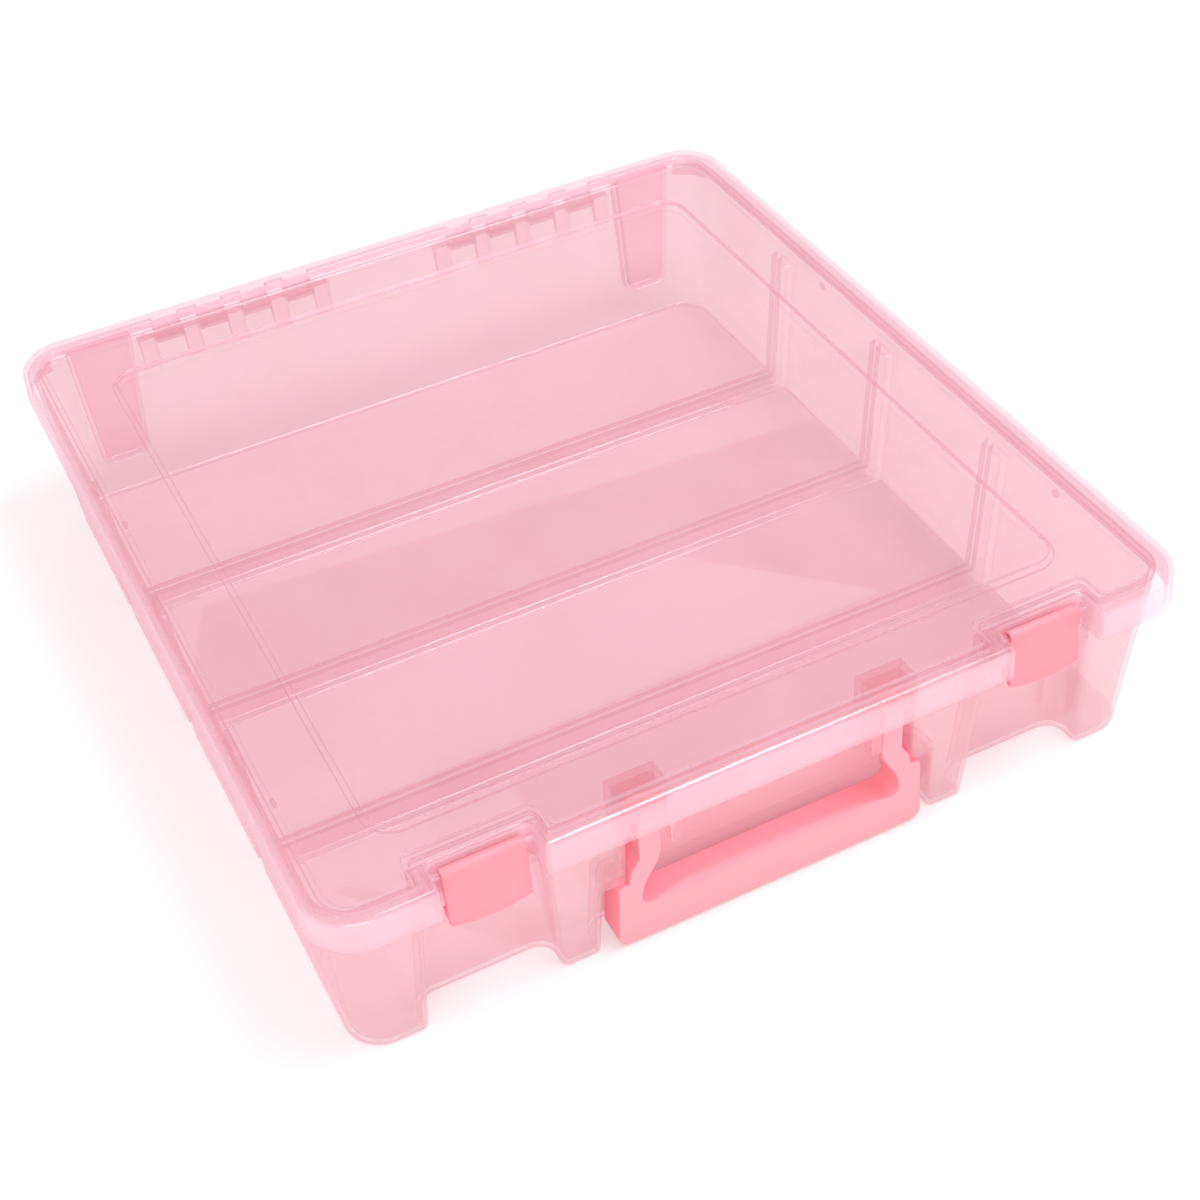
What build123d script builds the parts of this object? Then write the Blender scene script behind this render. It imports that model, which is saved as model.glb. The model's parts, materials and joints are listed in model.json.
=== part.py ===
"""A lidded carrying box for craft supplies: a one-compartment tray, a hinged lid, two latches and a handle.

Millimetres, +Z up. X runs along the front, which is the side with the handle and latches, and +Y points to
the back. The origin is on the ground under the middle of the lid, whose outline is the box's whole plan.
"""
import os

from build123d import *

os.makedirs("parts", exist_ok=True)

# The box over all. The lid's outline sets the width and depth, and its raised border the height.
box_width = 355.6
box_depth = 387.35
box_height = 86.9
wall = 2.0

# Lid
lid_corner_radius = 21.0
skirt_height = 14.3
skirt_flare = 0.6
border_width = 9.8
border_rise = 2.5
panel_drop = 1.2
panel_side_margin = 35.6
panel_end_margin = 38.0
lid_top_rounding = 3.0

# Base tray. Insets are measured in from the lid's outline.
rim_gap = 0.3
rim_inset_side = 4.3
rim_inset_front = 9.8
foot_inset_side = 8.9
foot_inset_front = 15.3
back_inset = 8.7
tray_corner_radius = 15.0
floor_thickness = 2.3
foot_rounding = 2.0
front_rounding = 3.0

# Grooves under the floor and up the sides, which stand as ridges inside
groove_count = 3
groove_width = 9.0
groove_depth = 3.4
groove_end_below_rim = 13.0
groove_floor_lean = 1.5
groove_side_lean = 2.5

# Front of the base: corner pillar, latch pocket, boss and handle recess, in that order from each side
latch_side_inset = 63.2
notch_depth = 13.7
notch_border = 6.5
notch_corner_radius = 3.0
notch_top_rounding = 1.5
notch_rounding_length = 8.0
border_corner_radius = 3.0
panel_corner_radius = 10.0
step_rounding = 0.8
notch_step_depth = 8.5
step_edge_margin = 1.0
notch_edge_margin = 4.0
pocket_side_gap = 3.95
pocket_flare = 7.4
boss_width = 16.0
recess_depth_foot = 14.0
recess_depth_top = 14.2
recess_top_below_rim = 20.0
recess_corner_radius = 7.0
slot_corner_radius = 1.5
rim_setback = 3.0

# Back of the base: standing feet and two hinge rods on gussets
back_foot_side_inset = 37.8
back_foot_width_top = 30.6
back_foot_width_bottom = 22.4
back_foot_start = 17.0
back_foot_depth = 4.6
back_foot_rounding = 6.0
hinge_side_inset = 103.3
gusset_count = 5
gusset_pitch = 21.5
gusset_thickness = 7.5
gusset_length = 14.5
gusset_tip_wall = 1.1
rod_radius = 1.5
rod_clearance = 0.05
rod_from_wall = 3.4
rod_below_top = 11.9
knuckle_wall = 1.45
knuckle_side_gap = 0.6
knuckle_mouth = 2.5
knuckle_web_front = 1.0
knuckle_web_rise = 2.0
back_skirt_height = 7.9
back_skirt_cut_side_inset = 15.8

# Latches
latch_width = 31.0
latch_side_gap = 3.75
latch_plate = 2.2
latch_height = 26.4
latch_flare = 2.6
latch_bow = 2.0
latch_barrel_radius = 2.2
latch_barrel_gap = 0.4
latch_pin_radius = 1.3
latch_pin_clearance = 0.05
latch_pin_grip = 2.5
latch_hole_depth = 2.8
latch_top_below_lid = 2.5
nose_depth = 3.4
nose_height = 3.2
nose_clearance = 0.5
nose_slope = 1.0
nose_foot = 1.2
catch_width = 20.0
catch_height = 4.0
catch_reach = 3.3

# Handle
handle_side_gap = 6.0
handle_ground_gap = 2.0
handle_thickness = 12.4
handle_front_setback = 12.5
grip_height = 18.0
grip_rounding = 5.0
grip_edge_rounding = 0.3
fade_start = 36.0
handle_corner = 4.0
leg_width = 10.5
arm_width = 8.7
arm_bend_height = 29.0
pivot_below_rim = 16.1
pivot_behind_front = 5.2
arm_end_radius = 5.2
arm_taper = 14.0
arm_pin_radius = 2.5
arm_pin_clearance = 0.05
slot_outer_gap = 4.4
slot_inner_gap = 2.9
hub_side_gap = 0.3
hub_radius = 4.5
pin_end_gap = 0.2
block_drop = 30.0
block_width = 11.8
shoulder_gap = 1.6
shoulder_side_gap = 0.7
shoulder_rise = 5.5
shoulder_rounding = 3.0
shoulder_rounding_side = 3.8
shoulder_rounding_drop = 2.5
shoulder_ledge_end = 0.2
flank_lean = 1.2
slot_rise = 10.0
slot_back_gap = 0.6
tab_width = 3.5
tab_depth = 5.0
tab_drop = 11.0
tab_ahead_of_rim = 0.6

# Heights worked out from the sizes above
half_width = box_width / 2
half_depth = box_depth / 2
skirt_bottom = box_height - skirt_height
plate_top = box_height - border_rise
panel_top = plate_top - panel_drop
rim_top = plate_top - wall - rim_gap
rod_z = box_height - rod_below_top
back_skirt_bottom = box_height - back_skirt_height
pivot_z = rim_top - pivot_below_rim
recess_top = rim_top - recess_top_below_rim
block_bottom = pivot_z - block_drop

# Places across the width, worked out inwards from the side
latch_x = half_width - latch_side_inset
notch_width = latch_width + 2 * latch_side_gap
pocket_width_top = notch_width + 2 * pocket_side_gap
pocket_width_foot = pocket_width_top + pocket_flare
pocket_half_foot = pocket_width_foot / 2
recess_half = latch_x - pocket_half_foot - boss_width
slot_outer = recess_half - block_width
arm_outer = slot_outer - slot_outer_gap
arm_inner = arm_outer - arm_width
slot_inner = arm_inner - slot_inner_gap
handle_half = recess_half - handle_side_gap
hinge_x = half_width - hinge_side_inset
back_foot_x = half_width - back_foot_side_inset

# Places along the depth
back_face = half_depth - back_inset
rod_y = back_face + rod_from_wall
notch_back = -half_depth + notch_depth
latch_axis_y = notch_back - latch_barrel_gap - latch_barrel_radius
latch_axis_z = box_height - latch_top_below_lid - latch_barrel_radius
handle_front = -half_depth + handle_front_setback
pivot_y = handle_front + pivot_behind_front
slot_back = pivot_y + arm_end_radius + slot_back_gap
slot_top = pivot_z + slot_rise
inside_depth = back_face + half_depth - foot_inset_front - recess_depth_foot - 2 * wall
ridge_pitch = inside_depth / (groove_count + 1)


def side_at(z):
    """Half width of the tray's outer face at a height: the side walls lean out towards the rim."""
    foot, rim = half_width - foot_inset_side, half_width - rim_inset_side
    return foot + (rim - foot) * z / rim_top


def front_at(z):
    """Where the tray's front face is at a height. It leans out as the side walls do."""
    foot, rim = -half_depth + foot_inset_front, -half_depth + rim_inset_front
    return foot + (rim - foot) * z / rim_top


def recess_at(z):
    """Where the back wall of the front recesses is at a height."""
    foot = front_at(0) + recess_depth_foot
    top = front_at(recess_top) + recess_depth_top
    return foot + (top - foot) * z / recess_top


def rounded_outline(half_x, front, back, radius):
    """A rectangle with round corners in the current sketch, given by its half width, front and back."""
    with Locations((0, (front + back) / 2)):
        RectangleRounded(2 * half_x, back - front, radius)


def tray_form(z_low, z_high, inset, radius):
    """The tray's leaning form between two heights, drawn in by an inset."""
    with BuildPart() as form:
        for z in (z_low, z_high):
            with BuildSketch(Plane.XY.offset(z)):
                rounded_outline(side_at(z) - inset, front_at(z) + inset, back_face - inset, radius)
        loft(ruled=True)
    return form.part


def front_prism(x, widths, heights, backs, grow, corner):
    """A cut in from the front between two heights, with round inner corners; grow adds a wall's thickness."""
    ahead = -half_depth - 10
    with BuildPart() as prism:
        for z, width, back in zip(heights, widths, backs):
            with BuildSketch(Plane.XY.offset(z)):
                with Locations((x, (ahead + back + grow) / 2)):
                    Rectangle(width + 2 * grow, back + grow - ahead)
                fillet(vertices().group_by(Axis.Y)[-1], corner + grow)
        loft(ruled=True)
    return prism.part


def front_recesses(grow):
    """Both latch pockets and the stepped handle recess."""
    low = -1.0
    top = recess_top + grow
    step = block_bottom + grow
    lean = (pocket_width_top - pocket_width_foot) / recess_top
    pocket_widths = (pocket_width_foot + lean * low, pocket_width_top)
    deep = (recess_at(low), recess_at(recess_top))
    left = front_prism(-latch_x, pocket_widths, (low, top), deep, grow, recess_corner_radius)
    right = front_prism(latch_x, pocket_widths, (low, top), deep, grow, recess_corner_radius)
    lower_widths = (2 * recess_half, 2 * recess_half + lean * block_bottom)
    lower_backs = (deep[0], recess_at(block_bottom))
    lower = front_prism(0, lower_widths, (low, step), lower_backs, grow, recess_corner_radius)
    upper_widths = (2 * slot_outer, 2 * slot_outer)
    upper = front_prism(0, upper_widths, (step - 1, top), (lower_backs[1], deep[1]), grow, slot_corner_radius)
    with BuildPart() as cuts:
        for cut in (left, right, lower, upper):
            add(cut)
    return cuts.part


def upper_openings(grow):
    """Above the recesses: the rim's setbacks behind the lid's notches, and room for the handle's arm ends."""
    with BuildPart() as cuts:
        with BuildSketch(Plane.XY.offset(recess_top - 1 + grow)):
            back = notch_back + rim_setback + grow
            for side in (-1, 1):
                with Locations((side * latch_x, (back - half_depth - 10) / 2)):
                    Rectangle(pocket_width_top + 2 * grow, back + half_depth + 10)
        extrude(amount=rim_top)
        with BuildSketch(Plane.XY.offset(recess_top - 1)):
            ahead = -half_depth - 10
            for side in (-1, 1):
                with Locations((side * (slot_inner + slot_outer) / 2, (ahead + slot_back + grow) / 2)):
                    Rectangle(slot_outer - slot_inner + 2 * grow, slot_back + grow - ahead)
        extrude(amount=slot_top + grow - recess_top + 1)
    return cuts.part


def groove_at(i):
    """Where groove number i is along the depth. The grooves divide the inside evenly."""
    return back_face - wall - (i + 1) * ridge_pitch


def wall_grooves(width, depth, top):
    """Straight grooves across under the floor and up both side walls, with leaning flanks."""
    with BuildPart() as grooves:
        with BuildSketch(Plane.YZ.offset(-half_width)):
            for i in range(groove_count):
                y = groove_at(i)
                with BuildLine():
                    Polyline((y - width / 2 - groove_floor_lean, -1), (y - width / 2, depth),
                             (y + width / 2, depth), (y + width / 2 + groove_floor_lean, -1), close=True)
                make_face()
        extrude(amount=box_width)
        for i in range(groove_count):
            y = groove_at(i)
            for side in (-1, 1):
                for z in (-1.0, top):
                    with BuildSketch(Plane.XY.offset(z)):
                        inner = side * (side_at(z) - depth)
                        outer = side * (side_at(z) + 5)
                        with BuildLine():
                            Polyline((inner, y - width / 2), (outer, y - width / 2 - groove_side_lean),
                                     (outer, y + width / 2 + groove_side_lean), (inner, y + width / 2),
                                     close=True)
                        make_face()
                loft(ruled=True)
    return grooves.part


def back_feet(grow, y_low, y_high):
    """The two standing feet on the back wall or, with a negative grow, their hollows."""
    with BuildPart() as feet:
        with BuildSketch(Plane.XZ.offset(-y_high)):
            top, low = back_foot_width_top / 2 + grow, back_foot_width_bottom / 2 + grow
            for side in (-1, 1):
                x = side * back_foot_x
                with BuildLine():
                    Polyline((x - low, back_foot_start - grow), (x + low, back_foot_start - grow),
                             (x + top, rim_top), (x - top, rim_top), close=True)
                make_face()
            fillet(vertices().group_by(Axis.Y)[0], back_foot_rounding + grow)
        extrude(amount=y_high - y_low)
    return feet.part


tray_outside = tray_form(0, rim_top, 0, tray_corner_radius)
tray_inside = tray_form(floor_thickness, rim_top + 1, wall, tray_corner_radius - wall)
recess_voids, recess_walls = front_recesses(0), front_recesses(wall)
upper_voids, upper_walls = upper_openings(0), upper_openings(wall)
groove_top = rim_top - groove_end_below_rim
groove_voids = wall_grooves(groove_width, groove_depth, groove_top)
groove_walls = wall_grooves(groove_width + 2 * wall, groove_depth + wall, groove_top + wall)
foot_blocks = back_feet(0, back_face - 1, back_face + back_foot_depth)
foot_hollows = back_feet(-wall, back_face - wall - 1, back_face + back_foot_depth - wall)

# The tray's hollow: the space inside its walls, with the walls of every recess and ridge left out
with BuildPart() as hollow:
    add(tray_inside)
    add((recess_walls, upper_walls, groove_walls), mode=Mode.SUBTRACT)
    add(foot_hollows)

# Base tray: one moulding with its feet, ridges, handle pockets, hinge rods and gussets
with BuildPart() as base_tray:
    add(tray_outside)
    add(foot_blocks)
    add(recess_voids, mode=Mode.SUBTRACT)
    upright = base_tray.edges().filter_by(lambda e: abs(e.tangent_at(0.5).Z) > 0.9 and e.length > 20)
    fillet(upright.filter_by(lambda e: e.center().Y < front_at(0)), front_rounding)
    fillet(base_tray.edges().group_by(Axis.Z)[0], foot_rounding)
    add((upper_voids, groove_voids, hollow.part), mode=Mode.SUBTRACT)
    # A tab hangs beside each arm on its inner side, from the roof of the recess
    with BuildSketch(Plane.XZ.offset(half_depth - rim_inset_front + tab_ahead_of_rim)):
        tab_top = recess_top + wall
        for side in (-1, 1):
            with Locations((side * (slot_inner - tab_width / 2), tab_top - (tab_drop + wall) / 2)):
                Rectangle(tab_width, tab_drop + wall)
        fillet(vertices().group_by(Axis.Y)[0], tab_width / 2 - 0.1)
    extrude(amount=-tab_depth)
    # Bearing holes for the handle's pins, through both side walls of each slot
    with BuildSketch(Plane.YZ.offset(-slot_outer - wall - 1)):
        with Locations((pivot_y, pivot_z)):
            Circle(arm_pin_radius + arm_pin_clearance)
    extrude(amount=2 * (slot_outer + wall + 1), mode=Mode.SUBTRACT)
    # A catch bead behind each latch's nose
    for side in (-1, 1):
        with BuildSketch(Plane.YZ.offset(side * latch_x - catch_width / 2)):
            face = notch_back + rim_setback
            middle = (recess_top + wall + skirt_bottom) / 2 - 0.3
            with BuildLine():
                Polyline((face + wall / 2, middle + catch_height / 2), (face, middle + catch_height / 2),
                         (face - catch_reach, middle), (face - catch_reach, middle - catch_height / 4),
                         (face, middle - catch_height / 2), (face + wall / 2, middle - catch_height / 2),
                         close=True)
            make_face()
        extrude(amount=catch_width)
    # Hinge gussets and the rods moulded between them
    for side in (-1, 1):
        for i in range(gusset_count):
            x = side * hinge_x + (i - (gusset_count - 1) / 2) * gusset_pitch
            with BuildSketch(Plane.YZ.offset(x - gusset_thickness / 2)):
                tip = rod_radius + gusset_tip_wall
                with BuildLine():
                    Polyline((back_face - 0.5, rod_z - gusset_length),
                             (back_face + 0.2, rod_z - gusset_length),
                             (rod_y + tip * 0.85, rod_z - tip * 0.5), (rod_y + tip * 0.9, rod_z + tip * 0.3),
                             (rod_y + tip * 0.4, rod_z + tip * 0.9), (back_face - 0.5, rod_z + tip * 0.9),
                             close=True)
                make_face()
            extrude(amount=gusset_thickness)
        span = (gusset_count - 1) * gusset_pitch
        with BuildSketch(Plane.YZ.offset(side * hinge_x - span / 2)):
            with Locations((rod_y, rod_z)):
                Circle(rod_radius)
        extrude(amount=span)

base_tray.part.label = "base_tray"
export_step(base_tray.part, "parts/base_tray.step")


def notches(grow, border, mode):
    """The lid's two front notches in the current sketch, grown sideways and back."""
    for side in (-1, 1):
        back = notch_back + grow + border
        reach = back + half_depth + 10
        with Locations((side * latch_x, back - reach / 2)):
            Rectangle(notch_width + 2 * grow, reach, mode=mode)


def lid_form(inset, z_low, z_high, rounding):
    """The lid's form between two heights with its notches, drawn in by an inset."""
    with BuildPart() as form:
        for z in (z_low, z_high):
            lean = skirt_flare * (z - skirt_bottom) / skirt_height + inset
            with BuildSketch(Plane.XY.offset(z)):
                RectangleRounded(box_width - 2 * lean, box_depth - 2 * lean, lid_corner_radius - lean)
        loft(ruled=True)
        fillet(form.edges().group_by(Axis.Z)[-1], rounding)
        with BuildSketch(Plane.XY.offset(z_low - 1)):
            notches(inset, 0, Mode.ADD)
            fillet(vertices().group_by(Axis.Y)[-1], notch_corner_radius)
        extrude(amount=z_high - z_low + 2, mode=Mode.SUBTRACT)
    return form.part


def sunken_areas(grow, lift):
    """The plate inside the raised border, which goes round the notches, and the rectangle in its middle."""
    with BuildPart() as areas:
        with BuildSketch(Plane.XY.offset(plate_top - lift)):
            inset = border_width - grow
            RectangleRounded(box_width - 2 * inset, box_depth - 2 * inset, lid_corner_radius - inset)
            notches(notch_border - grow, notch_step_depth - notch_border, Mode.SUBTRACT)
            near_notch = vertices().filter_by(lambda v: v.Y < 0 and abs(v.X) < latch_x + notch_width / 1.3)
            fillet(near_notch, border_corner_radius)
        extrude(amount=border_rise + 1)
        with BuildSketch(Plane.XY.offset(panel_top - lift)):
            side, end = panel_side_margin - grow, panel_end_margin - grow
            RectangleRounded(box_width - 2 * side, box_depth - 2 * end, panel_corner_radius + grow)
        extrude(amount=panel_drop + 1)
    return areas.part


def step_edge(edge):
    """Whether an edge of the lid's top lies at the inner step of the raised border."""
    place = edge.center()
    inner = border_width - step_edge_margin
    by_notch = abs(abs(place.X) - latch_x) < notch_width / 2 + notch_border + notch_edge_margin
    limit = notch_back + notch_step_depth - notch_edge_margin if by_notch else -half_depth + inner
    return abs(place.X) < half_width - inner and limit < place.Y < half_depth - inner


lid_outside = lid_form(0, skirt_bottom, box_height, lid_top_rounding)
lid_hollow = lid_form(wall, skirt_bottom - 1, box_height - wall, lid_top_rounding / 2)
top_areas, under_areas = sunken_areas(0, 0), sunken_areas(wall, wall)

with BuildPart() as lid_inside:
    add(lid_hollow)
    add(under_areas, mode=Mode.SUBTRACT)

# Lid: one moulding with its skirt, raised border, sunken plate, notch walls and hinge knuckles
with BuildPart() as lid:
    add(lid_outside)
    top_edges = lid.edges().filter_by_position(Axis.Z, box_height - 0.01, box_height + 0.01)
    fillet(top_edges.filter_by_position(Axis.Y, notch_back - notch_rounding_length, notch_back + 0.01),
           notch_top_rounding)
    add(top_areas, mode=Mode.SUBTRACT)
    rims = lid.edges().filter_by_position(Axis.Z, box_height - 0.01, box_height + 0.01)
    fillet(rims.filter_by(lambda e: step_edge(e)), step_rounding)
    add(lid_inside.part, mode=Mode.SUBTRACT)
    # The back skirt is shorter, so that it swings clear of the tray
    with BuildSketch(Plane.XZ.offset(-half_depth - 1)):
        with Locations((0, back_skirt_bottom - 10)):
            Rectangle(box_width - 2 * back_skirt_cut_side_inset, 20)
    extrude(amount=wall + 4, mode=Mode.SUBTRACT)
    # Hinge knuckles: open hooks that snap over the tray's rods
    knuckle_radius = rod_radius + rod_clearance + knuckle_wall
    knuckle_width = gusset_pitch - gusset_thickness - 2 * knuckle_side_gap
    for side in (-1, 1):
        for i in range(gusset_count - 1):
            x = side * hinge_x + (i - (gusset_count - 2) / 2) * gusset_pitch
            with BuildSketch(Plane.YZ.offset(x - knuckle_width / 2)):
                with Locations((rod_y, rod_z)):
                    Circle(knuckle_radius)
                web_front = rod_y - knuckle_web_front
                web_back = half_depth - skirt_flare - wall / 2
                with BuildLine():
                    Polyline((web_front, rod_z), (web_back, rod_z + knuckle_web_rise),
                             (web_back, box_height - wall / 2),
                             (web_front, box_height - wall / 2), close=True)
                make_face()
                with Locations((rod_y, rod_z)):
                    Circle(rod_radius + rod_clearance, mode=Mode.SUBTRACT)
                with Locations((rod_y, rod_z - knuckle_radius)):
                    Rectangle(knuckle_mouth, 2 * knuckle_radius, mode=Mode.SUBTRACT)
            extrude(amount=knuckle_width)
    # Pins on the notches' side walls, which the latches turn on
    for side in (-1, 1):
        for end in (-1, 1):
            with BuildSketch(Plane.YZ.offset(side * latch_x + end * (latch_width / 2 - latch_pin_grip))):
                with Locations((latch_axis_y, latch_axis_z)):
                    Circle(latch_pin_radius)
            extrude(amount=end * (notch_width - latch_width + wall + 2 * latch_pin_grip) / 2)

lid.part.label = "lid"
export_step(lid.part, "parts/lid.step")


def make_latch(x):
    """One latch: a bowed plate that hangs from a barrel with a hole in each end, and a nose behind it."""
    front = latch_axis_y - latch_barrel_radius
    bottom = latch_axis_z - latch_height + latch_barrel_radius
    nose_top = recess_top + wall
    nose_tip = notch_back + rim_setback - catch_reach - nose_clearance
    with BuildPart() as latch:
        with BuildSketch(Plane.YZ.offset(x - latch_width / 2)):
            with BuildLine():
                outer = ThreePointArc((front, latch_axis_z),
                                      (front - latch_flare * 0.3, (latch_axis_z + bottom) / 2),
                                      (front - latch_flare, bottom))
                Line(outer @ 1, outer @ 1 + Vector(latch_plate, 0))
                inner = ThreePointArc((front - latch_flare + latch_plate, bottom),
                                      (front - latch_flare * 0.3 + latch_plate, (latch_axis_z + bottom) / 2),
                                      (front + latch_plate, latch_axis_z))
                Line(inner @ 1, outer @ 0)
            make_face()
            with Locations((latch_axis_y, latch_axis_z)):
                Circle(latch_barrel_radius)
            with BuildLine():
                Polyline((nose_tip, nose_top), (nose_tip - nose_depth, nose_top + nose_slope),
                         (nose_tip - nose_depth, nose_top - nose_height),
                         (nose_tip - nose_foot, nose_top - nose_height),
                         close=True)
            make_face()
        extrude(amount=latch_width)
        # The plate's lower edge is bowed: lowest in the middle
        with BuildSketch(Plane.XZ.offset(half_depth + 20)):
            with BuildLine():
                bow = ThreePointArc((x - latch_width / 2, bottom + latch_bow), (x, bottom),
                                    (x + latch_width / 2, bottom + latch_bow))
                Polyline(bow @ 1, (x + latch_width, bottom + latch_bow), (x + latch_width, bottom - 5),
                         (x - latch_width, bottom - 5), (x - latch_width, bottom + latch_bow), bow @ 0)
            make_face()
        extrude(amount=-60, mode=Mode.SUBTRACT)
        # A blind hole in each end of the barrel takes the lid's pin
        for end in (-1, 1):
            with BuildSketch(Plane.YZ.offset(x + end * (latch_width / 2 - latch_hole_depth))):
                with Locations((latch_axis_y, latch_axis_z)):
                    Circle(latch_pin_radius + latch_pin_clearance)
            extrude(amount=end * (latch_hole_depth + 1), mode=Mode.SUBTRACT)
    return latch


for name, side in (("latch_left", -1), ("latch_right", 1)):
    latch = make_latch(side * latch_x)
    latch.part.label = name
    export_step(latch.part, f"parts/{name}.step")

# Handle: a flat U that hangs in the recess from the pins at the top of its two arms
handle_bottom = handle_ground_gap
handle_back = handle_front + handle_thickness
shoulder_z = block_bottom - shoulder_gap
grip_top = handle_bottom + grip_height
leg_inner = handle_half - leg_width

# Its outline from the front, which is the same on both sides of the middle
with BuildPart() as handle:
    with BuildSketch(Plane.XZ.offset(-handle_front)):
        with BuildLine():
            bottom_edge = Line((0, handle_bottom), (handle_half - handle_corner, handle_bottom))
            corner = RadiusArc(bottom_edge @ 1, (handle_half, handle_bottom + handle_corner), -handle_corner)
            flank = Line(corner @ 1, (handle_half - flank_lean, shoulder_z - shoulder_rounding_drop))
            ledge_start = (handle_half - shoulder_rounding_side, shoulder_z)
            round_off = RadiusArc(flank @ 1, ledge_start, -shoulder_rounding)
            ledge = Line(round_off @ 1, (slot_outer + shoulder_ledge_end, shoulder_z))
            step = Line(ledge @ 1, (slot_outer - shoulder_side_gap, shoulder_z + shoulder_rise))
            rise = Line(step @ 1, (arm_outer, shoulder_z + 2 * shoulder_rise))
            outside = Line(rise @ 1, (arm_outer, pivot_z + arm_end_radius))
            top = Line(outside @ 1, (arm_inner, pivot_z + arm_end_radius))
            inside = Line(top @ 1, (arm_inner, grip_top + arm_bend_height))
            bend = Spline(inside @ 1, (leg_inner, grip_top + handle_corner), tangents=((0, -1), (0, -1)))
            foot = RadiusArc(bend @ 1, (leg_inner - handle_corner, grip_top), handle_corner)
            grip_edge = Line(foot @ 1, (0, grip_top))
            Line(grip_edge @ 1, bottom_edge @ 0)
        make_face()
    extrude(amount=-handle_thickness)
    mirror(about=Plane.YZ)
    # Seen from the side the arms end in half circles about the pins, and thin towards them at the back
    with BuildSketch(Plane.YZ.offset(-handle_half)):
        with BuildLine():
            Polyline((handle_front, pivot_z), (handle_front, handle_bottom), (handle_back, handle_bottom),
                     (handle_back, pivot_z - arm_taper), (pivot_y + arm_end_radius, pivot_z))
            RadiusArc((handle_front, pivot_z), (pivot_y + arm_end_radius, pivot_z), arm_end_radius)
        make_face()
    extrude(amount=2 * handle_half, mode=Mode.INTERSECT)
    # The grip's upper front edge is round, and this fades out before the legs
    fade_end = leg_inner - handle_corner
    for ends in ((-fade_end, -fade_start), (-fade_start, fade_start), (fade_start, fade_end)):
        for x in ends:
            radius = grip_rounding if abs(x) < fade_end else grip_edge_rounding
            with BuildSketch(Plane.YZ.offset(x)):
                with BuildLine():
                    RadiusArc((handle_front, grip_top - radius), (handle_front + radius, grip_top), radius)
                    Polyline((handle_front + radius, grip_top), (handle_front + radius, grip_top + 1),
                             (handle_front - 1, grip_top + 1), (handle_front - 1, grip_top - radius),
                             (handle_front, grip_top - radius))
                make_face()
        loft(ruled=True, mode=Mode.SUBTRACT)
    # A hub on both sides of each arm keeps it in the middle of its slot, and a pin sticks out of each hub
    for side in (-1, 1):
        middle = side * (slot_inner + slot_outer) / 2
        for radius, reach in ((hub_radius, -hub_side_gap), (arm_pin_radius, wall - pin_end_gap)):
            half_length = (slot_outer - slot_inner) / 2 + reach
            with BuildSketch(Plane.YZ.offset(middle - half_length)):
                with Locations((pivot_y, pivot_z)):
                    Circle(radius)
            extrude(amount=2 * half_length)

handle.part.label = "handle"
export_step(handle.part, "parts/handle.step")
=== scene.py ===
"""The looks of a flat pink carrying box for craft supplies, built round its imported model.

The box is five polypropylene mouldings: a translucent tray and lid, a matte handle and two matte
latches. Sizes are in metres unless a name says otherwise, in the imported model's frame: +Z is up, and
the handle is at -Y.
"""
from __future__ import annotations

import json
import logging
import math
from dataclasses import dataclass
from enum import Enum
from typing import Any

import bmesh
import bpy
from mathutils import Matrix, Vector

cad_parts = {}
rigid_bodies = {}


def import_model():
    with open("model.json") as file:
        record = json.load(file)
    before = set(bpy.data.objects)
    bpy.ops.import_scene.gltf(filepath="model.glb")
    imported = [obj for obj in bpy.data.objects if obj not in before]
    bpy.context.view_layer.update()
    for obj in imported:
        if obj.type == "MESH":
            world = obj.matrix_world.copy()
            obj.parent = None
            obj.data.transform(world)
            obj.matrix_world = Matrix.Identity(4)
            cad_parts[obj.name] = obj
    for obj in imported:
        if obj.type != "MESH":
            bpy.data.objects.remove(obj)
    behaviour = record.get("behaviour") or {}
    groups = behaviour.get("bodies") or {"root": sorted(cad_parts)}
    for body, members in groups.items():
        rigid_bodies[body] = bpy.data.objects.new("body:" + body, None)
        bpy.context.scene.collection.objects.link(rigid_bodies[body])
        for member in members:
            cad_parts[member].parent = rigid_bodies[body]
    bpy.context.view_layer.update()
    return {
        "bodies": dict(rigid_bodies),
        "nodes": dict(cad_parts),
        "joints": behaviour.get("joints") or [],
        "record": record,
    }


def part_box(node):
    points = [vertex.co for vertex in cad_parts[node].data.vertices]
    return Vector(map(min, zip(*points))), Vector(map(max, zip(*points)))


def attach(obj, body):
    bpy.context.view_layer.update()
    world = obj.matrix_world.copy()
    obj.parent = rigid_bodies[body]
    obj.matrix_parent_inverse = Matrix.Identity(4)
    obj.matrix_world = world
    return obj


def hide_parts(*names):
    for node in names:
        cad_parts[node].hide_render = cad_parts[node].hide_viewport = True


log = logging.getLogger("craft_box")

MM = 0.001
WHITE = "#FFFFFF"

# The sRGB standard's curve from screen values to light
SRGB_KNEE = 0.04045
SRGB_SLOPE = 12.92
SRGB_OFFSET = 0.055
SRGB_POWER = 2.4

# The places of a Mix node's colour inputs and of its colour output
FIRST_COLOUR = 6
SECOND_COLOUR = 7
MIXED_COLOUR = 2

# The blend at which a Layer Weight node's Facing is one minus the cosine of the angle of view
EVEN_BLEND = 0.5

# How a CAD node's mesh is made one skin again before its edges are rounded
WELD_DISTANCE = 0.002 * MM
FLAT_TURN_DEG = 0.5
SHARP_TURN_DEG = 28
ROUNDING_SEGMENTS = 3


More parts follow.
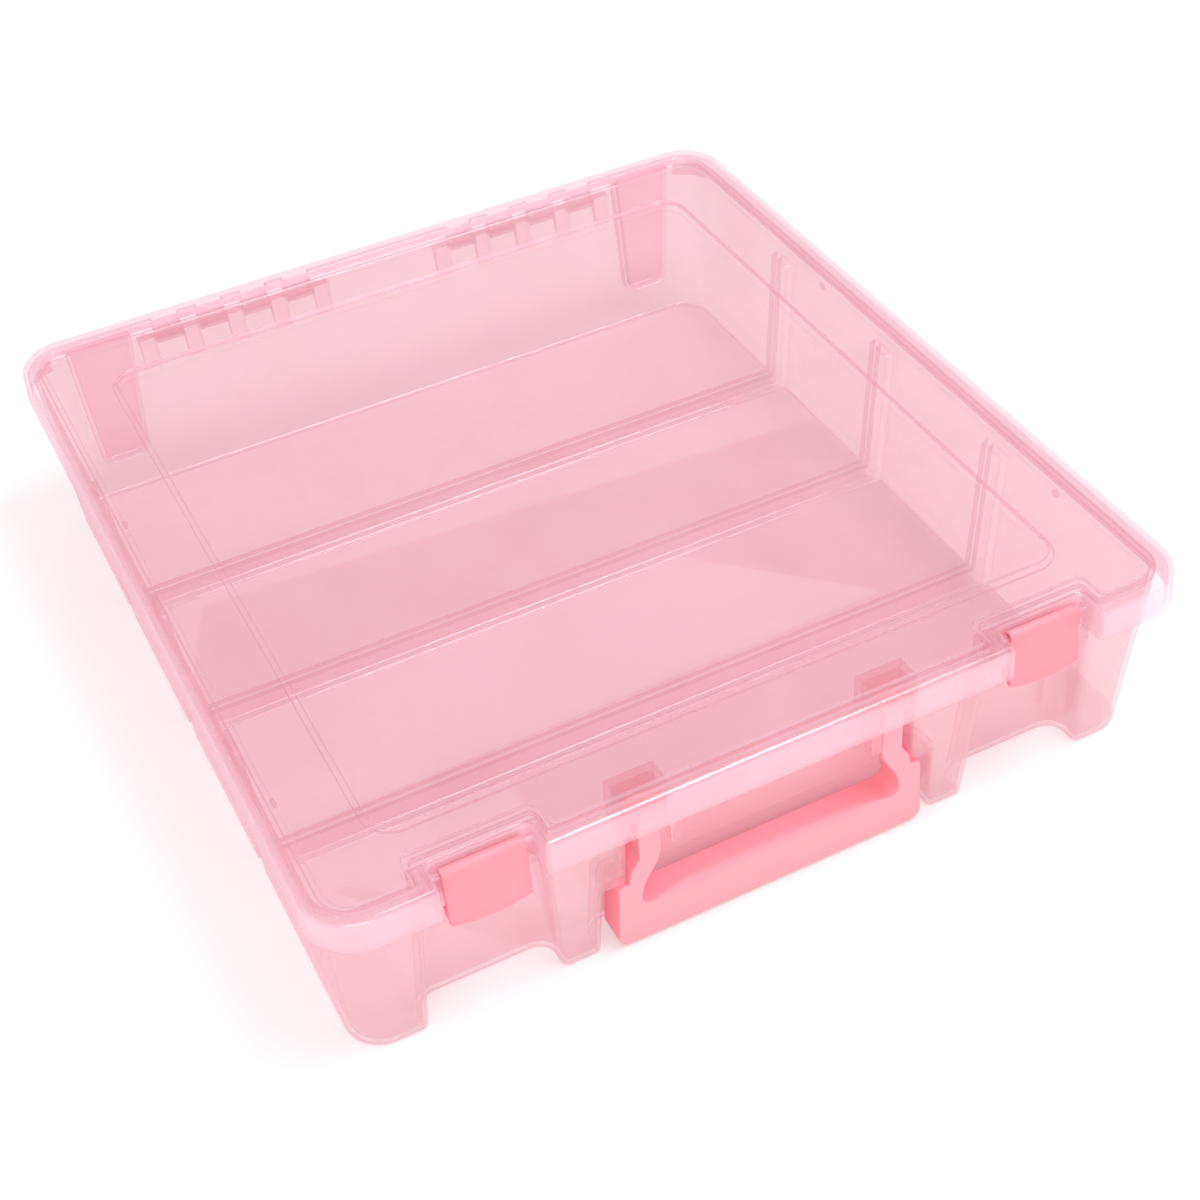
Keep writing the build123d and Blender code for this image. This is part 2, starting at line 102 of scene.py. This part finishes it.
def linear(code: str) -> tuple[float, float, float, float]:
    """Turns an sRGB hex code into linear colour.

    Args:
        code: Six hex digits with a leading hash.

    Returns:
        Linear red, green and blue, and an alpha of 1.
    """
    values = [int(code[i:i + 2], 16) / 255 for i in (1, 3, 5)]
    red, green, blue = (
        v / SRGB_SLOPE if v <= SRGB_KNEE else ((v + SRGB_OFFSET) / (1 + SRGB_OFFSET)) ** SRGB_POWER
        for v in values
    )
    return red, green, blue, 1.0


def add_node(
    tree: bpy.types.NodeTree,
    kind: str,
    inputs: dict[str | int, Any] | None = None,
    **settings: object,
) -> bpy.types.Node:
    """Adds a node with its settings, and links or sets its inputs.

    Args:
        tree: The tree that gets the node.
        kind: The node's type name.
        inputs: Values or output sockets, by input name or number.
        settings: Properties of the node.

    Returns:
        The new node.
    """
    node = tree.nodes.new(kind)
    for name, value in settings.items():
        setattr(node, name, value)
    for key, value in (inputs or {}).items():
        if isinstance(value, bpy.types.NodeSocket):
            tree.links.new(value, node.inputs[key])
        else:
            node.inputs[key].default_value = value
    return node


def largest(tree: bpy.types.NodeTree, values: list[bpy.types.NodeSocket]) -> bpy.types.NodeSocket:
    """Adds the nodes that keep the largest of some values.

    Args:
        tree: The tree that gets the nodes.
        values: The sockets to compare.

    Returns:
        A socket with the largest value.
    """
    most = values[0]
    for value in values[1:]:
        most = add_node(tree, "ShaderNodeMath", {0: most, 1: value}, operation="MAXIMUM").outputs[0]
    return most


def seen_by_eye(tree: bpy.types.NodeTree) -> bpy.types.NodeSocket:
    """Adds the nodes that tell rays of the camera, of gloss or through glass from rays that light.

    Args:
        tree: The tree that gets the nodes.

    Returns:
        A socket that is 1 for what is seen and 0 for what lights.
    """
    rays = add_node(tree, "ShaderNodeLightPath").outputs
    return largest(tree, [rays[f"Is {kind} Ray"] for kind in ("Camera", "Glossy", "Transmission")])


def new_material(name: str) -> tuple[bpy.types.Material, bpy.types.NodeTree]:
    """Makes an empty node material.

    Args:
        name: The material's name.

    Returns:
        The material and its tree.
    """
    material = bpy.data.materials.new(name)
    material.use_nodes = True
    material.node_tree.nodes.clear()
    return material, material.node_tree


def dress(piece: bpy.types.Object, material: bpy.types.Material) -> None:
    """Gives every face of a piece one material."""
    piece.data.materials.clear()
    piece.data.materials.append(material)


@dataclass(frozen=True)
class TranslucentPolypropylene:
    """Polypropylene with a little pink dye, injection moulded in a polished mould.

    The eye sees a clear tint through it, deeper along edges and where a wall is seen along its
    length, a milky haze that is denser on the drafted upright walls, and soft white highlights on
    the rounded edges.

    Attributes:
        name: The material's name.
        tint: The colour that one skin gives to what is seen through it.
        deep_tint: The same where more plastic is looked through.
        haze_colour: The colour of the milky haze.
        flat_haze: The haze's share on level plates.
        upright_haze: The haze's share on upright walls.
        edge_haze: The haze added on a wall that is seen along its length.
        edge_depth: How fast the tint deepens towards an edge.
        edge_glow: How fast the haze grows towards an edge.
        edge_gloss: How fast the gloss grows towards an edge.
        plate_shade_depth: How deep the tint is on level plates, from 0 to 1: painted shade of the
            table's tinted shadow under the floor, and partly thicker plastic.
        thick_behind: Where solid blocks begin behind the back wall, along Y.
        thick_depth: How deep the tint is in those blocks, from 0 to 1.
    """

    name: str
    tint: str
    deep_tint: str
    haze_colour: str
    flat_haze: float
    upright_haze: float
    edge_haze: float
    edge_depth: float
    edge_glow: float
    edge_gloss: float
    plate_shade_depth: float
    thick_behind: float
    thick_depth: float

    # The normal's height, from 0 to 1, up to which a wall is upright and from which it is level
    upright_to: float = 0.3
    level_from: float = 0.9
    # How far along a wall the view runs, from 0 to 1, where tint, haze and gloss begin to grow
    deep_from: float = 0.75
    milky_from: float = 0.7
    glossy_from: float = 0.3
    thick_fade_mm: float = 0.3

    # Flow marks: faint clouds of haze along the path that the melt took
    flow_haze: float = 0.03
    flow_mm: float = 55.0
    flow_detail: float = 2.0
    flow_swirl: float = 0.6
    flow_least: float = 0.3
    flow_most: float = 0.7
    # Ripple: slow waves of the mould's polish, which bend the highlights
    ripple_mm: float = 9.0
    ripple_height_mm: float = 0.012
    ripple_detail: float = 1.0
    ripple_fineness: float = 0.4

    edge_radius_mm: float = 0.6
    edge_samples: int = 4
    glow_share: float = 0.4
    roughness: float = 0.13
    least_gloss: float = 0.045
    most_gloss: float = 0.26

    def build(self) -> bpy.types.Material:
        """Builds the material.

        Returns:
            A mix of a tinted clear shader, a milky one and the gloss of the skin.
        """
        material, tree = new_material(self.name)
        place = add_node(tree, "ShaderNodeTexCoord").outputs["Object"]
        rounded = add_node(tree, "ShaderNodeBevel", {
            "Radius": self.edge_radius_mm * MM,
        }, samples=self.edge_samples).outputs["Normal"]
        edge = self._edge(tree, rounded)
        whole = add_node(tree, "ShaderNodeMixShader", {
            0: self._gloss(tree, rounded, edge),
            1: self._body(tree, place, rounded, edge),
            2: self._skin(tree, place, rounded),
        })
        add_node(tree, "ShaderNodeOutputMaterial", {"Surface": whole.outputs[0]})
        return material

    def _body(
        self,
        tree: bpy.types.NodeTree,
        place: bpy.types.NodeSocket,
        rounded: bpy.types.NodeSocket,
        edge: bpy.types.NodeSocket,
    ) -> bpy.types.NodeSocket:
        """Adds the dyed, milky plastic without its gloss.

        Args:
            tree: The material's tree.
            place: Object coordinates.
            rounded: The normal with rounded edges.
            edge: How near an edge is.

        Returns:
            A shader that lets the light through and scatters the haze's share of it.
        """
        flat = self._flat(tree)
        dye = add_node(tree, "ShaderNodeMix", {
            "Factor": self._depth(tree, place, edge, flat),
            FIRST_COLOUR: linear(self.tint),
            SECOND_COLOUR: linear(self.deep_tint),
        }, data_type="RGBA")
        tinted = add_node(tree, "ShaderNodeBsdfTransparent", {"Color": dye.outputs[MIXED_COLOUR]})
        haze_colour = linear(self.haze_colour)
        lit = add_node(tree, "ShaderNodeBsdfDiffuse", {"Color": haze_colour, "Normal": rounded})
        glowing = add_node(tree, "ShaderNodeBsdfTranslucent", {"Color": haze_colour})
        milk = add_node(tree, "ShaderNodeMixShader", {
            0: self.glow_share, 1: lit.outputs[0], 2: glowing.outputs[0],
        })
        return add_node(tree, "ShaderNodeMixShader", {
            0: self._haze(tree, place, edge, flat), 1: tinted.outputs[0], 2: milk.outputs[0],
        }).outputs[0]

    def _skin(
        self, tree: bpy.types.NodeTree, place: bpy.types.NodeSocket, rounded: bpy.types.NodeSocket,
    ) -> bpy.types.NodeSocket:
        """Adds the polished skin, which mirrors the lamps and the sky without a colour of its own.

        Args:
            tree: The material's tree.
            place: Object coordinates.
            rounded: The normal with rounded edges.

        Returns:
            A white mirror shader with the mould's ripple.
        """
        ripple = add_node(tree, "ShaderNodeTexNoise", {
            "Vector": place,
            "Scale": 1 / (self.ripple_mm * MM),
            "Detail": self.ripple_detail,
            "Roughness": self.ripple_fineness,
        })
        relief = add_node(tree, "ShaderNodeBump", {
            "Strength": 1.0,
            "Distance": self.ripple_height_mm * MM,
            "Height": ripple.outputs[0],
            "Normal": rounded,
        })
        return add_node(tree, "ShaderNodeBsdfPrincipled", {
            "Base Color": linear(WHITE),
            "Metallic": 1.0,
            "Roughness": self.roughness,
            "Normal": relief.outputs["Normal"],
        }).outputs[0]

    def _gloss(
        self, tree: bpy.types.NodeTree, rounded: bpy.types.NodeSocket, edge: bpy.types.NodeSocket,
    ) -> bpy.types.NodeSocket:
        """Adds the nodes for how strongly the skin mirrors.

        Args:
            tree: The material's tree.
            rounded: The normal with rounded edges.
            edge: How near an edge is.

        Returns:
            A socket with the skin's share, which grows towards an edge and at a flat angle of view.
        """
        facing = add_node(tree, "ShaderNodeLayerWeight", {"Blend": EVEN_BLEND, "Normal": rounded})
        gloss = add_node(tree, "ShaderNodeMapRange", {
            "Value": facing.outputs["Facing"],
            "From Min": self.glossy_from,
            "To Min": self.least_gloss,
            "To Max": self.most_gloss,
        })
        return add_node(tree, "ShaderNodeMath", {
            0: edge, 1: self.edge_gloss, 2: gloss.outputs[0],
        }, operation="MULTIPLY_ADD", use_clamp=True).outputs[0]

    def _edge(
        self, tree: bpy.types.NodeTree, rounded: bpy.types.NodeSocket,
    ) -> bpy.types.NodeSocket:
        """Adds the nodes that find the moulding's edges.

        Args:
            tree: The material's tree.
            rounded: The normal with rounded edges.

        Returns:
            A socket that is 0 on a flat wall and grows towards an edge.
        """
        true = add_node(tree, "ShaderNodeNewGeometry").outputs["Normal"]
        match = add_node(tree, "ShaderNodeVectorMath", {0: true, 1: rounded}, operation="DOT_PRODUCT")
        return add_node(tree, "ShaderNodeMath", {
            0: 1.0, 1: match.outputs["Value"],
        }, operation="SUBTRACT").outputs[0]

    def _flat(self, tree: bpy.types.NodeTree) -> bpy.types.NodeSocket:
        """Adds the nodes that tell level plates from upright walls.

        Args:
            tree: The material's tree.

        Returns:
            A socket that is 1 on a level plate and 0 on an upright wall.
        """
        normal = add_node(tree, "ShaderNodeTexCoord").outputs["Normal"]
        height = add_node(tree, "ShaderNodeSeparateXYZ", {0: normal}).outputs["Z"]
        level = add_node(tree, "ShaderNodeMath", {0: height}, operation="ABSOLUTE")
        return add_node(tree, "ShaderNodeMapRange", {
            "Value": level.outputs[0], "From Min": self.upright_to, "From Max": self.level_from,
        }, interpolation_type="SMOOTHSTEP").outputs[0]

    def _depth(
        self,
        tree: bpy.types.NodeTree,
        place: bpy.types.NodeSocket,
        edge: bpy.types.NodeSocket,
        flat: bpy.types.NodeSocket,
    ) -> bpy.types.NodeSocket:
        """Adds the nodes for how much plastic is looked through, which deepens the tint, and for
        painted shade on level plates.

        Args:
            tree: The material's tree.
            place: Object coordinates.
            edge: How near an edge is.
            flat: How level the surface is.

        Returns:
            A socket that is 0 on a wall seen face on, and 1 on an edge or along a wall.
        """
        rim = add_node(tree, "ShaderNodeMath", {
            0: edge, 1: self.edge_depth,
        }, operation="MULTIPLY", use_clamp=True)
        facing = add_node(tree, "ShaderNodeLayerWeight", {"Blend": EVEN_BLEND})
        along = add_node(tree, "ShaderNodeMapRange", {
            "Value": facing.outputs["Facing"], "From Min": self.deep_from,
        })
        across = add_node(tree, "ShaderNodeSeparateXYZ", {0: place})
        thick = add_node(tree, "ShaderNodeMapRange", {
            "Value": across.outputs["Y"],
            "From Min": self.thick_behind,
            "From Max": self.thick_behind + self.thick_fade_mm * MM,
            "To Max": self.thick_depth,
        })
        # Painted shade: a deeper tint on level plates stands in for the box's tinted shadow on the
        # table seen through the floor, and a little for the floor's thicker plastic
        plate = add_node(tree, "ShaderNodeMath", {0: flat, 1: self.plate_shade_depth}, operation="MULTIPLY")
        return largest(tree, [node.outputs[0] for node in (rim, along, thick, plate)])

    def _haze(
        self,
        tree: bpy.types.NodeTree,
        place: bpy.types.NodeSocket,
        edge: bpy.types.NodeSocket,
        flat: bpy.types.NodeSocket,
    ) -> bpy.types.NodeSocket:
        """Adds the nodes for how milky the plastic is.

        Args:
            tree: The material's tree.
            place: Object coordinates.
            edge: How near an edge is.
            flat: How level the surface is.

        Returns:
            A socket with the share of light that the haze takes.
        """
        wall = add_node(tree, "ShaderNodeMapRange", {
            "Value": flat, "To Min": self.upright_haze, "To Max": self.flat_haze,
        })
        flow = add_node(tree, "ShaderNodeTexNoise", {
            "Vector": place,
            "Scale": 1 / (self.flow_mm * MM),
            "Detail": self.flow_detail,
            "Distortion": self.flow_swirl,
        })
        drift = add_node(tree, "ShaderNodeMapRange", {
            "Value": flow.outputs[0],
            "From Min": self.flow_least,
            "From Max": self.flow_most,
            "To Min": -self.flow_haze,
            "To Max": self.flow_haze,
        })
        facing = add_node(tree, "ShaderNodeLayerWeight", {"Blend": EVEN_BLEND})
        along = add_node(tree, "ShaderNodeMapRange", {
            "Value": facing.outputs["Facing"], "From Min": self.milky_from, "To Max": self.edge_haze,
        })
        milky = wall.outputs[0]
        for more in (drift, along):
            milky = add_node(tree, "ShaderNodeMath", {
                0: milky, 1: more.outputs[0],
            }, operation="ADD").outputs[0]
        return add_node(tree, "ShaderNodeMath", {
            0: edge, 1: self.edge_glow, 2: milky,
        }, operation="MULTIPLY_ADD", use_clamp=True).outputs[0]


@dataclass(frozen=True)
class MattePolypropylene:
    """Opaque dyed polypropylene from a spark-eroded mould, whose grain gives it a soft matte skin.

    Attributes:
        name: The material's name.
        colour: The dyed plastic's colour.
        shade: The colour of its faint clouds, where the dye is a little thinner.
    """

    name: str
    colour: str
    shade: str

    # A real eroded grain is about 0.05 mm, which is too fine to show, so it is drawn this coarse
    grain_mm: float = 0.45
    grain_height_mm: float = 0.02
    grain_strength: float = 0.6
    grain_detail: float = 2.0
    cloud_mm: float = 18.0
    cloud_detail: float = 3.0
    edge_radius_mm: float = 0.5
    edge_samples: int = 4
    roughness: float = 0.5
    roughness_spread: float = 0.06
    refraction: float = 1.49

    def build(self) -> bpy.types.Material:
        """Builds the material.

        Returns:
            A dyed skin with faint clouds of dye and a fine eroded grain.
        """
        material, tree = new_material(self.name)
        place = add_node(tree, "ShaderNodeTexCoord").outputs["Object"]
        rounded = add_node(tree, "ShaderNodeBevel", {
            "Radius": self.edge_radius_mm * MM,
        }, samples=self.edge_samples).outputs["Normal"]
        clouds = add_node(tree, "ShaderNodeTexNoise", {
            "Vector": place, "Scale": 1 / (self.cloud_mm * MM), "Detail": self.cloud_detail,
        })
        dye = add_node(tree, "ShaderNodeMix", {
            "Factor": clouds.outputs[0],
            FIRST_COLOUR: linear(self.colour),
            SECOND_COLOUR: linear(self.shade),
        }, data_type="RGBA")
        grain = add_node(tree, "ShaderNodeTexNoise", {
            "Vector": place, "Scale": 1 / (self.grain_mm * MM), "Detail": self.grain_detail,
        })
        relief = add_node(tree, "ShaderNodeBump", {
            "Strength": self.grain_strength,
            "Distance": self.grain_height_mm * MM,
            "Height": grain.outputs[0],
            "Normal": rounded,
        })
        dull = add_node(tree, "ShaderNodeMapRange", {
            "Value": grain.outputs[0],
            "To Min": self.roughness - self.roughness_spread,
            "To Max": self.roughness + self.roughness_spread,
        })
        skin = add_node(tree, "ShaderNodeBsdfPrincipled", {
            "Base Color": dye.outputs[MIXED_COLOUR],
            "Roughness": dull.outputs[0],
            "IOR": self.refraction,
            "Normal": relief.outputs["Normal"],
        })
        add_node(tree, "ShaderNodeOutputMaterial", {"Surface": skin.outputs[0]})
        return material


@dataclass(frozen=True)
class WhiteTable:
    """A matt white laminate table top, which is partly plain white and so shows little shadow."""

    name: str = "white_laminate_table"
    colour: str = "#F6F6F6"
    plain_share: float = 0.3

    def build(self) -> bpy.types.Material:
        """Builds the material.

        Returns:
            A matt white, with the plain share for the camera, in gloss and through glass.
        """
        material, tree = new_material(self.name)
        share = add_node(tree, "ShaderNodeMath", {
            0: seen_by_eye(tree), 1: self.plain_share,
        }, operation="MULTIPLY")
        paint = add_node(tree, "ShaderNodeBsdfDiffuse", {"Color": linear(self.colour)})
        plain = add_node(tree, "ShaderNodeEmission", {"Color": linear(WHITE), "Strength": 1.0})
        mix = add_node(tree, "ShaderNodeMixShader", {
            0: share.outputs[0], 1: paint.outputs[0], 2: plain.outputs[0],
        })
        add_node(tree, "ShaderNodeOutputMaterial", {"Surface": mix.outputs[0]})
        return material


# The tray's plates are almost clear but get a deeper tint as painted shade of the table's shadow
# beneath, its edges are pale, and its blocks behind the back wall are deeper
PINK_TRAY = TranslucentPolypropylene(
    name="translucent_polypropylene_tray",
    tint="#FBEFF0",
    deep_tint="#FBD0DC",
    haze_colour="#FFE2ED",
    flat_haze=0.07,
    upright_haze=0.16,
    edge_haze=0.25,
    edge_depth=0.5,
    edge_glow=1.0,
    edge_gloss=1.6,
    # Painted shade on the floor and other level plates, for the tinted shadow on the table beneath
    plate_shade_depth=0.3,
    thick_behind=0.1853,
    thick_depth=0.7,
)
# The lid's border and skirt are milkier than its plate, deep lines mark its edges, and it has no blocks
PINK_LID = TranslucentPolypropylene(
    name="translucent_polypropylene_lid",
    tint="#FBF2F5",
    deep_tint="#F5A3C1",
    haze_colour="#FFE6F1",
    flat_haze=0.05,
    upright_haze=0.3,
    edge_haze=0.25,
    edge_depth=5.0,
    edge_glow=0.0,
    edge_gloss=0.3,
    plate_shade_depth=0.0,
    thick_behind=1.0,
    thick_depth=0.0,
)
# The handle and the latches are the only parts that hide what is behind them
HANDLE_CORAL = MattePolypropylene(
    name="matte_polypropylene_handle", colour="#FB97A2", shade="#FC9DA8",
)
# The latches' coral is deeper than the handle's: painted shade that tones down the strong light that
# falls on them
SHADED_LATCH_CORAL = MattePolypropylene(
    name="matte_polypropylene_latch_shaded", colour="#F78793", shade="#F88D99",
)


def placed(name: str, data: bpy.types.ID) -> bpy.types.Object:
    """Makes an object at the origin and adds it to the scene.

    Args:
        name: The object's name.
        data: Its mesh, lamp or camera.

    Returns:
        The new object.
    """
    piece = bpy.data.objects.new(name, data)
    bpy.context.collection.objects.link(piece)
    return piece


def applied(piece: bpy.types.Object, modifier: bpy.types.Modifier) -> bpy.types.Object:
    """Makes a modifier's result the piece's own mesh.

    Args:
        piece: The object.
        modifier: Its only modifier, which is removed.

    Returns:
        The same object with a plain mesh.
    """
    bpy.context.view_layer.update()
    evaluated = piece.evaluated_get(bpy.context.evaluated_depsgraph_get())
    mesh = bpy.data.meshes.new_from_object(evaluated)
    piece.modifiers.remove(modifier)
    piece.data = mesh
    return piece


def grown(tree: bpy.types.NodeTree, name: str, values: dict[str, Any]) -> bpy.types.Object:
    """Runs a Geometry Nodes tree and keeps its result as a plain mesh.

    Args:
        tree: The tree, whose last node gives the geometry.
        name: The new object's name.
        values: Input values by input name.

    Returns:
        An object at the origin that holds the result.
    """
    piece = placed(name, bpy.data.meshes.new(name))
    modifier = piece.modifiers.new("grow", "NODES")
    modifier.node_group = tree
    for item in tree.interface.items_tree:
        if item.in_out == "INPUT":
            modifier[item.identifier] = values[item.name]
    applied(piece, modifier)
    piece.data.shade_smooth()
    return piece


def rounded_copy(node: bpy.types.Object, name: str, radius: float) -> bpy.types.Object:
    """Copies a CAD node with its sharp edges rounded over, as a mould leaves them.

    Args:
        node: The CAD node.
        name: The copy's name.
        radius: The rounding's width.

    Returns:
        The copy, a closed mesh at the origin.
    """
    mesh = node.data.copy()
    mesh.name = name
    shape = bmesh.new()
    shape.from_mesh(mesh)
    bmesh.ops.remove_doubles(shape, verts=shape.verts, dist=WELD_DISTANCE)
    bmesh.ops.dissolve_limit(
        shape, angle_limit=math.radians(FLAT_TURN_DEG), verts=shape.verts, edges=shape.edges,
    )
    shape.to_mesh(mesh)
    shape.free()
    piece = placed(name, mesh)
    bevel = piece.modifiers.new("round", "BEVEL")
    bevel.width = radius
    bevel.segments = ROUNDING_SEGMENTS
    bevel.limit_method = "ANGLE"
    bevel.angle_limit = math.radians(SHARP_TURN_DEG)
    bevel.use_clamp_overlap = True
    bevel.harden_normals = True
    return applied(piece, bevel)


@dataclass
class Tray:
    """The base tray, with the small beads along its rim that centre the lid."""

    bead_radius: float = 1.6 * MM
    bead_stretch: tuple[float, float, float] = (0.6, 1.4, 1.0)
    bead_segments: int = 16
    bead_rings: int = 10
    bead_drop: float = 3.4 * MM
    bead_wall_inset: float = 6.5 * MM
    bead_first: float = -0.120
    bead_pitch: float = 0.177
    beads_a_side: int = 2

    def build(self, frame: dict[str, Any]) -> None:
        """Dresses the tray's CAD node and adds its beads.
        """
        material = PINK_TRAY.build()
        dress(frame["nodes"]["base_tray"], material)
        beads = self._beads(material)
        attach(beads, "base")
        log.info("tray: dressed, with %d rim beads", 2 * self.beads_a_side)

    def _beads(self, material: bpy.types.Material) -> bpy.types.Object:
        """Makes the beads by Geometry Nodes: a row of flattened balls along each side wall.

        Args:
            material: The tray's plastic.

        Returns:
            One object with all the beads as plain mesh.
        """
        low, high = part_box("base_tray")
        rim = high.z - self.bead_drop
        left = (low.x + self.bead_wall_inset, self.bead_first, rim)
        right = (high.x - self.bead_wall_inset, self.bead_first, rim)
        sockets = {
            "Count": ("NodeSocketInt", self.beads_a_side),
            "Pitch": ("NodeSocketVector", (0.0, self.bead_pitch, 0.0)),
            "Left Start": ("NodeSocketVector", left),
            "Right Start": ("NodeSocketVector", right),
            "Radius": ("NodeSocketFloat", self.bead_radius),
        }
        tree = bpy.data.node_groups.new("rim_beads", "GeometryNodeTree")
        for name, (kind, _) in sockets.items():
            tree.interface.new_socket(name, in_out="INPUT", socket_type=kind)
        tree.interface.new_socket("Geometry", in_out="OUTPUT", socket_type="NodeSocketGeometry")
        given = add_node(tree, "NodeGroupInput").outputs
        ball = add_node(tree, "GeometryNodeMeshUVSphere", {
            "Segments": self.bead_segments, "Rings": self.bead_rings, "Radius": given["Radius"],
        })
        both = add_node(tree, "GeometryNodeJoinGeometry")
        for start in ("Left Start", "Right Start"):
            line = add_node(tree, "GeometryNodeMeshLine", {
                "Count": given["Count"], "Start Location": given[start], "Offset": given["Pitch"],
            }, mode="OFFSET")
            row = add_node(tree, "GeometryNodeInstanceOnPoints", {
                "Points": line.outputs[0], "Instance": ball.outputs[0], "Scale": self.bead_stretch,
            })
            tree.links.new(row.outputs[0], both.inputs[0])
        real = add_node(tree, "GeometryNodeRealizeInstances", {0: both.outputs[0]})
        dressed = add_node(tree, "GeometryNodeSetMaterial", {
            0: real.outputs[0], "Material": material,
        })
        add_node(tree, "NodeGroupOutput", {0: dressed.outputs[0]})
        return grown(tree, "rim_beads", {name: value for name, (_, value) in sockets.items()})


@dataclass
class Lid:
    """The hinged lid: a plate in a raised border, with a skirt, two notches and hinge knuckles."""

    def build(self, frame: dict[str, Any]) -> None:
        """Dresses the lid's CAD node.
        """
        dress(frame["nodes"]["lid"], PINK_LID.build())
        log.info("lid: dressed")


class LatchSide(Enum):
    """Which side of the front a latch is on."""

    LEFT = "latch_left"
    RIGHT = "latch_right"


@dataclass
class Latch:
    """One snap latch: a bowed plate that hangs from a barrel in the lid's notch."""

    side: LatchSide
    edge_radius: float = 0.45 * MM

    def build(self, frame: dict[str, Any], material: bpy.types.Material) -> None:
        """Makes the latch with its moulded edges and puts it on its body.

        Args:
            material: The matte plastic of both latches.
        """
        name = self.side.value
        plate = rounded_copy(frame["nodes"][name], f"{name}_moulding", self.edge_radius)
        dress(plate, material)
        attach(plate, name)
        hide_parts(name)
        log.info("%s: %d faces", name, len(plate.data.polygons))


@dataclass
class Handle:
    """The carry handle: a flat U with a thick grip, which swings on the pins of its two arms."""

    edge_radius: float = 1.3 * MM

    def build(self, frame: dict[str, Any], material: bpy.types.Material) -> None:
        """Makes the handle with its moulded edges and puts it on its body.

        Args:
            material: The handle's matte plastic.
        """
        grip = rounded_copy(frame["nodes"]["handle"], "handle_moulding", self.edge_radius)
        dress(grip, material)
        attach(grip, "handle")
        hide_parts("handle")
        log.info("handle: %d faces", len(grip.data.polygons))


@dataclass(frozen=True)
class SoftLamp:
    """A rectangular studio lamp behind white cloth, aimed at the box."""

    name: str
    place: tuple[float, float, float]
    width: float
    height: float
    watts: float

    def build(self) -> None:
        """Adds the lamp."""
        data = bpy.data.lights.new(self.name, "AREA")
        data.shape = "RECTANGLE"
        data.size = self.width
        data.size_y = self.height
        data.energy = self.watts
        lamp = placed(self.name, data)
        aim = (-Vector(self.place)).to_track_quat("-Z", "Y").to_matrix().to_4x4()
        lamp.matrix_world = Matrix.Translation(self.place) @ aim


@dataclass
class Studio:
    """The white table, the soft lamps and the camera at the photograph's angle."""

    camera_place: tuple[float, float, float] = (-0.2557, -0.6124, 0.5955)
    view_axis: tuple[float, float, float] = (0.3041, 0.6812, -0.6659)
    camera_roll_deg: float = 4.4
    lens_mm: float = 60.48
    film_mm: float = 36.0
    table_half: float = 6.0
    sky_strength: float = 0.75
    skins_in_line: int = 32
    lamps: tuple[SoftLamp, ...] = (
        SoftLamp("overhead_lamp", place=(0.45, -0.35, 1.55), width=0.9, height=0.5, watts=16.0),
        SoftLamp("front_lamp", place=(-0.7, -1.6, 0.9), width=1.2, height=0.9, watts=12.0),
    )

    def build(self) -> None:
        """Adds everything round the box."""
        scene = bpy.context.scene
        scene.view_settings.view_transform = "Standard"
        # Light crosses two skins at each wall, and a line of sight meets many walls
        scene.cycles.transparent_max_bounces = self.skins_in_line
        self._add_camera()
        self._add_table()
        self._add_sky()
        for lamp in self.lamps:
            lamp.build()
        log.info("studio: camera, table, sky and %d lamps", len(self.lamps))

    def _add_camera(self) -> None:
        """Adds the camera and makes it the scene's."""
        data = bpy.data.cameras.new("camera")
        data.lens = self.lens_mm
        data.sensor_width = self.film_mm
        camera = placed("camera", data)
        axis = Vector(self.view_axis)
        aim = axis.to_track_quat("-Z", "Y").to_matrix()
        roll = Matrix.Rotation(math.radians(self.camera_roll_deg), 3, axis)
        camera.matrix_world = Matrix.Translation(self.camera_place) @ (roll @ aim).to_4x4()
        bpy.context.scene.camera = camera

    def _add_table(self) -> None:
        """Adds the table top at ground height."""
        half = self.table_half
        outline = [(-half, -half, 0.0), (half, -half, 0.0), (half, half, 0.0), (-half, half, 0.0)]
        mesh = bpy.data.meshes.new("table")
        mesh.from_pydata(outline, [], [(0, 1, 2, 3)])
        table = placed("table", mesh)
        dress(table, WhiteTable().build())

    def _add_sky(self) -> None:
        """Adds an even pale light from all round, which is plain white where it is seen."""
        world = bpy.data.worlds.new("studio")
        bpy.context.scene.world = world
        world.use_nodes = True
        tree = world.node_tree
        tree.nodes.clear()
        strength = add_node(tree, "ShaderNodeMapRange", {
            "Value": seen_by_eye(tree), "To Min": self.sky_strength,
        })
        light = add_node(tree, "ShaderNodeBackground", {
            "Color": linear(WHITE), "Strength": strength.outputs[0],
        })
        add_node(tree, "ShaderNodeOutputWorld", {"Surface": light.outputs[0]})


def main() -> None:
    """Builds the box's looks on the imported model, and then the studio."""
    logging.basicConfig(level=logging.INFO, format="%(name)s %(message)s")
    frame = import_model()
    Tray().build(frame)
    Lid().build(frame)
    latch_plastic = SHADED_LATCH_CORAL.build()
    for side in LatchSide:
        Latch(side).build(frame, latch_plastic)
    Handle().build(frame, HANDLE_CORAL.build())
    Studio().build()


if __name__ == "__main__":
    main()
